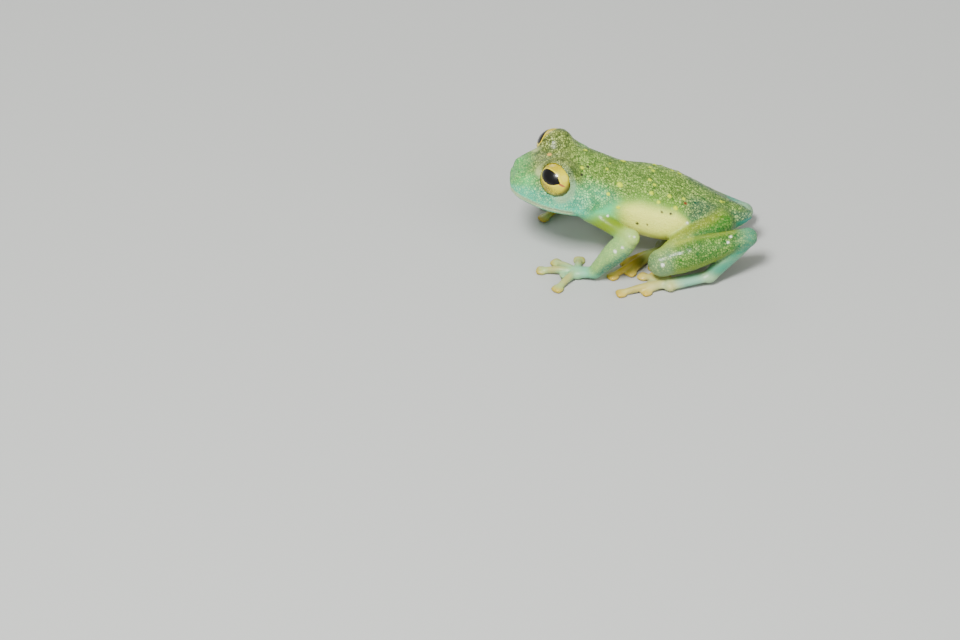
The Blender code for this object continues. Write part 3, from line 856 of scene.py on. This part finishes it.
def skin_attributes(p, normal):
    """The zones of colour: a tint, how strong the pale dots are and how raised the grain is."""
    x, z = p[:, 0], p[:, 2]
    share = zone_shares(p)
    top, wide, bottom = (np.interp(x, TABLE[:, 0], TABLE[:, k]) for k in (2, 3, 4))
    rise = (z - wide) / np.maximum(np.where(z > wide, top - wide, wide - bottom), LEAST_HEIGHT)
    over_flank = rise - np.interp(x, FLANK_X, FLANK_RISE)
    facing = normal @ PICTURE_UP
    margin = span(np.abs(facing), "margin")
    tint = trunk_tint(x, rise, over_flank)
    for zone, colour in limb_tints(x, facing, margin).items():
        tint = mix(tint, colour, share[zone])
    mouth = tube(p, MOUTH, np.zeros(len(MOUTH)))
    tint = mix(tint, LIP, span(mouth, "lips") * span(x, "lips_front") * span(rise, "lips_rise"))

    grain = sum(strength * share[zone] for zone, strength in GRAIN_SHARE.items())
    trunk_dots = span(over_flank, "back_dots") * (1 - span(x, "bare_snout"))
    trunk_dots += span(x, "cheek_dots") * span(rise, "cheek_dots_rise")
    dots = share["trunk"] * trunk_dots
    for zone, strength in DOT_SHARE.items():
        bare = margin if "shank" in zone else 0
        dots += strength * share[zone] * (1 - bare)
    for side in (LEFT, RIGHT):
        tint, dots = paint_eye(p, side, tint, dots)
    # Warts and specks are the skin's own colour; the glints among them are painted highlights
    for centre, size, colour in zip(SPOT_CENTRES, SPOT_SIZES, SPOT_COLOURS):
        spot = span(np.linalg.norm(p - centre, axis=1) / size, "spot")
        tint = mix(tint, colour, spot)
        dots = dots * (1 - spot)
    return {"tint": np.clip(tint, 0, 1), "dots": np.clip(dots, 0, 1), "grain": np.clip(grain, 0, 1)}


class Wire:
    """A shader socket or a number, with ordinary arithmetic."""

    def __init__(self, shader, socket):
        self.shader, self.socket = shader, socket

    def math(self, kind, *others):
        made = self.shader.node("ShaderNodeMath", {"operation": kind}, dict(enumerate((self, *others))))
        return made.out(0)

    def __add__(self, other):
        return self.math("ADD", other)

    def __mul__(self, other):
        return self.math("MULTIPLY", other)

    def __sub__(self, other):
        return self.math("SUBTRACT", other)

    def __rsub__(self, other):
        return (self * -1.0) + other

    def __truediv__(self, other):
        return self.math("DIVIDE", other)

    def __pow__(self, other):
        return self.math("POWER", other)

    __radd__, __rmul__ = __add__, __mul__

    def rising(self, low, high, to_low=0.0, to_high=1.0):
        """to_low below low, to_high above high, smooth between."""
        settings = {"interpolation_type": "SMOOTHSTEP"}
        inputs = {0: self, 1: low, 2: high, 3: to_low, 4: to_high}
        return self.shader.node("ShaderNodeMapRange", settings, inputs).out(0)


class Node:
    def __init__(self, shader, node):
        self.shader, self.node = shader, node

    def out(self, key):
        return Wire(self.shader, self.node.outputs[key])


class Shader:
    """A new material with one Principled shader."""

    def __init__(self, name, constants):
        self.material = bpy.data.materials.new(name)
        self.material.use_nodes = True
        self.tree = self.material.node_tree
        self.main = self.tree.nodes["Principled BSDF"]
        for key, value in constants.items():
            self.main.inputs[key].default_value = value

    def node(self, kind, settings=None, inputs=None):
        made = self.tree.nodes.new(kind)
        for key, value in (settings or {}).items():
            setattr(made, key, value)
        for key, value in (inputs or {}).items():
            self.feed(made.inputs[key], value)
        return Node(self, made)

    def feed(self, socket, value):
        if isinstance(value, Wire):
            self.tree.links.new(value.socket, socket)
        elif hasattr(socket.default_value, "__len__") and np.ndim(value):
            width = len(socket.default_value)
            socket.default_value = (tuple(value) + (1.0,))[:width]
        else:
            socket.default_value = value

    def set(self, key, value):
        self.feed(self.main.inputs[key], value)

    def attribute(self, name, output="Fac"):
        return self.node("ShaderNodeAttribute", {"attribute_name": name}).out(output)

    def place(self):
        """The object's own coordinates, in millimetres."""
        here = self.node("ShaderNodeTexCoord").out("Object")
        scaled = self.node("ShaderNodeVectorMath", {"operation": "SCALE"}, {0: here, "Scale": 1000.0})
        return scaled.out(0)

    def mixed(self, factor, a, b, kind="MIX"):
        settings = {"data_type": "RGBA", "blend_type": kind}
        return self.node("ShaderNodeMix", settings, {0: factor, 6: a, 7: b}).out(2)

    def noise(self, where, scale, detail=2.0, rough=0.5):
        inputs = {"Vector": where, "Scale": scale, "Detail": detail, "Roughness": rough}
        return self.node("ShaderNodeTexNoise", None, inputs).out("Fac")

    def cells(self, where, scale, feature="F1"):
        inputs = {"Vector": where, "Scale": scale}
        return self.node("ShaderNodeTexVoronoi", {"feature": feature}, inputs)

    def bump(self, height, strength, distance, under=None):
        inputs = {"Height": height, "Strength": strength, "Distance": distance}
        if under is not None:
            inputs["Normal"] = under
        return self.node("ShaderNodeBump", None, inputs).out("Normal")


# The skin's pattern: granules to the mm, how much the net darkens, the granules lighten and the
# patches darken the tint, and each bump's strength and height in metres
GRANULES_PER_MM, PATCHES_PER_MM = 4.0, 0.8
NET_SHARE, GRANULE_SHARE, PATCH_SHARE = 0.75, 0.42, 0.35
GRANULE_BUMP, FINE_BUMP = (0.6, 0.00006), (0.3, 0.00003)
ROUGHNESS_PER_MM, COAT_PER_MM, FINE_PER_MM = 6.0, 2.2, 14.0

# The eye's plane, in radii of the ball: half the pupil's length and height, the power of its curve
# at the front and at the rear, and the corner's place and size
PUPIL_LENGTH, PUPIL_HEIGHT = 0.69, 0.38
ROUND_FRONT, POINTED_REAR = 2.0, 1.15
CORNER_U, CORNER_V = 0.76, -0.03
CORNER_LENGTH, CORNER_HEIGHT = 0.14, 0.06
NET_SHARE_IRIS, REAR_SHARE, RING_SHARE = 0.45, 0.7, 0.8


def skin_material():
    """Moist skin: the zones' tint, pale granules in a darker net, a bumpy grain and a wet coat.

    The granules are the cells of a Voronoi pattern, each with a brightness of its own.
    """
    s = Shader("frog_skin", {
        "Subsurface Weight": 0.08,
        "Subsurface Radius": (0.7, 1.0, 0.4),
        "Subsurface Scale": 0.0004,
        "Coat Roughness": 0.22,
        "IOR": 1.38,
    })
    where = s.place()
    tint = s.attribute("tint", "Color")
    dots, grain = s.attribute("dots"), s.attribute("grain")
    from_net = s.cells(where, GRANULES_PER_MM, "DISTANCE_TO_EDGE").out("Distance")
    granule = from_net.rising(0.02, 0.16)
    cell_colour = s.cells(where, GRANULES_PER_MM).out("Color")
    chance = s.node("ShaderNodeSeparateColor", None, {0: cell_colour}).out(0)
    light = granule * chance.rising(0.0, 0.9, to_low=0.3)
    patch = s.noise(where, PATCHES_PER_MM, 3.0).rising(0.62, 0.3)
    deep = s.mixed(1.0, tint, NET, "MULTIPLY")
    netted = s.mixed(dots * NET_SHARE, tint, deep)
    pale = s.mixed(GRANULE_SHARE, tint, GRANULE)
    spotted = s.mixed(light * dots, netted, pale)
    s.set("Base Color", s.mixed(patch * dots * PATCH_SHARE, spotted, deep))
    roughness = s.noise(where, ROUGHNESS_PER_MM)
    s.set("Roughness", roughness.rising(0.3, 0.7, to_low=0.36, to_high=0.55))
    coat = s.noise(where, COAT_PER_MM)
    s.set("Coat Weight", coat.rising(0.3, 0.7, to_low=0.08, to_high=0.32))
    coarse = s.bump(granule * grain, *GRANULE_BUMP)
    s.set("Normal", s.bump(s.noise(where, FINE_PER_MM, 3.0), *FINE_BUMP, coarse))
    return s.material


def eye_material():
    """A gold iris with an olive net, a pale ring round a slit pupil, all under a wet coat.

    The pupil's edge is where (|u| / length)^2 + (|v| / height)^e is 1, with a little noise added.
    The power e falls towards the rear, which draws the pupil out to a point there.
    """
    s = Shader("frog_eye", {
        "Roughness": 0.3,
        "Coat Weight": 0.6,
        "Coat Roughness": 0.03,
        "IOR": 1.36,
    })
    plane = s.node("ShaderNodeUVMap", {"uv_map": "plane"}).out("UV")
    split = s.node("ShaderNodeSeparateXYZ", None, {0: plane})
    u, v = split.out(0), split.out(1)
    far = ((u * u) + (v * v)) ** 0.5
    edge = s.noise(plane, 9.0).rising(0.2, 0.8, to_low=-0.05, to_high=0.05)
    power = u.rising(-0.1, 0.55, to_low=ROUND_FRONT, to_high=POINTED_REAR)
    length = (u / PUPIL_LENGTH).math("ABSOLUTE") ** 2.0
    pupil = length + (v.math("ABSOLUTE") / PUPIL_HEIGHT) ** power + edge
    turn = v.math("ARCTAN2", u)
    streaks = s.node("ShaderNodeCombineXYZ", None, {0: turn * 3.0, 1: far * 2.0}).out(0)
    net = s.noise(streaks, 6.0, 4.0, 0.65).rising(0.45, 0.62)
    iris = s.mixed(net * NET_SHARE_IRIS, IRIS, IRIS_NET)
    iris = s.mixed(u.rising(0.0, 0.6) * REAR_SHARE, iris, IRIS_REAR)
    iris = s.mixed(v.rising(-0.3, -0.62) * net, iris, IRIS_LOW)
    iris = s.mixed(pupil.rising(1.45, 1.1) * RING_SHARE, iris, IRIS_RING)
    iris = s.mixed(far.rising(0.86, 0.98), iris, IRIS_LOW)
    corner = ((u - CORNER_U) / CORNER_LENGTH) ** 2.0 + ((v - CORNER_V) / CORNER_HEIGHT) ** 2.0
    iris = s.mixed(corner.rising(1.3, 0.6), iris, CORNER)
    s.set("Base Color", s.mixed(pupil.rising(1.03, 0.97), iris, PUPIL))
    return s.material


def eye_surface(side, rows=72, columns=96):
    """A ball about the line of sight: rings at even angles from the front pole to the back one.

    The plane map is each point's place across the line of sight, in radii: along the slit towards
    its rear corner first, then upwards.
    """
    look = unit(GAZE[side])
    slit = mirrored(SLIT, side)
    slit = unit(slit - look * (slit @ look))
    across = np.cross(look, slit)
    polar = np.linspace(0, math.pi, rows)[1:-1]
    turn = np.linspace(0, 2 * math.pi, columns, endpoint=False)
    a, b = np.meshgrid(polar, turn, indexing="ij")
    flat = np.column_stack([(np.sin(a) * np.cos(b)).ravel(), (np.sin(a) * np.sin(b)).ravel()])
    flat = np.vstack([flat, (0, 0), (0, 0)])
    deep = np.append(np.cos(a).ravel(), (1, -1))
    points = np.outer(flat[:, 0], slit) + np.outer(flat[:, 1], across) + np.outer(deep, look)
    k = np.arange(columns)
    after = (k + 1) % columns
    rings = np.arange(len(polar) - 1)[:, None] * columns
    quads = np.stack([rings + k, rings + columns + k, rings + columns + after, rings + after], -1)
    front, back = len(points) - 2, len(points) - 1
    last = (len(polar) - 1) * columns
    caps = [[front, i, j] for i, j in zip(k.tolist(), after.tolist())]
    caps += [[back, last + j, last + i] for i, j in zip(k.tolist(), after.tolist())]
    faces = quads.reshape(-1, 4).tolist() + caps
    return np.array(EYE_CENTRE[side]) + EYE_RADIUS * points, faces, flat * (1, -side)


def build_pieces():
    """The skin in place of every flesh part, and a ball in place of each eye."""
    points, quads, normal = skin_surface()
    flesh = ["head", "torso"]
    for part in ("upper_arm", "forearm", "hand", "thigh", "shank", "tarsus", "foot"):
        flesh += [f"{part}_left", f"{part}_right"]
    zones = skin_attributes(points, normal)
    make_piece("skin", points, quads.tolist(), skin_material(), flesh, zones)
    eye_look = eye_material()
    for word, side in SIDES.items():
        points, faces, plane = eye_surface(side)
        make_piece(f"eyeball_{word}", points, faces, eye_look, [f"eye_{word}"], uv=plane)


# The camera's aim in mm, its lens in mm for each metre that it is away, the floor and the sky
PHOTO_AIM = (-15.3, -4.45, -5.9)
LENS_PER_METRE, SENSOR_WIDTH = 375, 36
FLOOR_HALF, FLOOR_COLOUR = 2.0, (0.46, 0.47, 0.45, 1)
SKY_COLOUR, SKY_STRENGTH = (0.86, 0.86, 0.84, 1), 0.38
# Each light's name, place and size in metres, and power in watts
LIGHTS = (
    ("key", (-0.07, -0.16, 0.28), 0.08, 1.85),
    ("fill", (0.25, -0.25, 0.22), 0.30, 0.75),
    ("rim", (-0.10, 0.30, 0.20), 0.20, 0.35),
)
LIGHT_AIM = Vector((0, 0, 0.006))


def make_camera():
    """The photograph's view: level with the body's side, from 37 degrees above, with a long lens."""
    camera = bpy.data.objects.new("camera", bpy.data.cameras.new("camera"))
    aim = Vector(to_frame(np.array(PHOTO_AIM)))
    away = Vector((0, -math.cos(VIEW_RISE), math.sin(VIEW_RISE))) * VIEW_AWAY
    camera.location = aim + away
    camera.rotation_mode = "QUATERNION"
    camera.rotation_quaternion = (-away).to_track_quat("-Z", "Y")
    camera.data.lens = LENS_PER_METRE * VIEW_AWAY
    camera.data.sensor_width = SENSOR_WIDTH
    camera.data.clip_start, camera.data.clip_end = 0.01, 5
    bpy.context.scene.collection.objects.link(camera)
    bpy.context.scene.camera = camera


def make_light(name, place, size, power):
    """A square soft light facing the frog."""
    data = bpy.data.lights.new(name, "AREA")
    data.shape = "SQUARE"
    data.size, data.energy = size, power
    lamp = bpy.data.objects.new(name, data)
    lamp.location = place
    lamp.rotation_mode = "QUATERNION"
    lamp.rotation_quaternion = (LIGHT_AIM - Vector(place)).to_track_quat("-Z", "Y")
    bpy.context.scene.collection.objects.link(lamp)


def make_studio():
    """A pale floor and sky, a key light above the camera, a broad fill on the right and a rim light."""
    half = FLOOR_HALF
    mesh = bpy.data.meshes.new("floor")
    corners = [(-half, -half, 0), (half, -half, 0), (half, half, 0), (-half, half, 0)]
    mesh.from_pydata(corners, [], [(0, 1, 2, 3)])
    mesh.materials.append(Shader("floor", {"Base Color": FLOOR_COLOUR, "Roughness": 0.8}).material)
    floor = bpy.data.objects.new("floor", mesh)
    bpy.context.scene.collection.objects.link(floor)
    for light in LIGHTS:
        make_light(*light)
    world = bpy.data.worlds.new("sky")
    world.use_nodes = True
    sky = world.node_tree.nodes["Background"]
    sky.inputs["Color"].default_value = SKY_COLOUR
    sky.inputs["Strength"].default_value = SKY_STRENGTH
    bpy.context.scene.world = world


build_pieces()
make_studio()
make_camera()
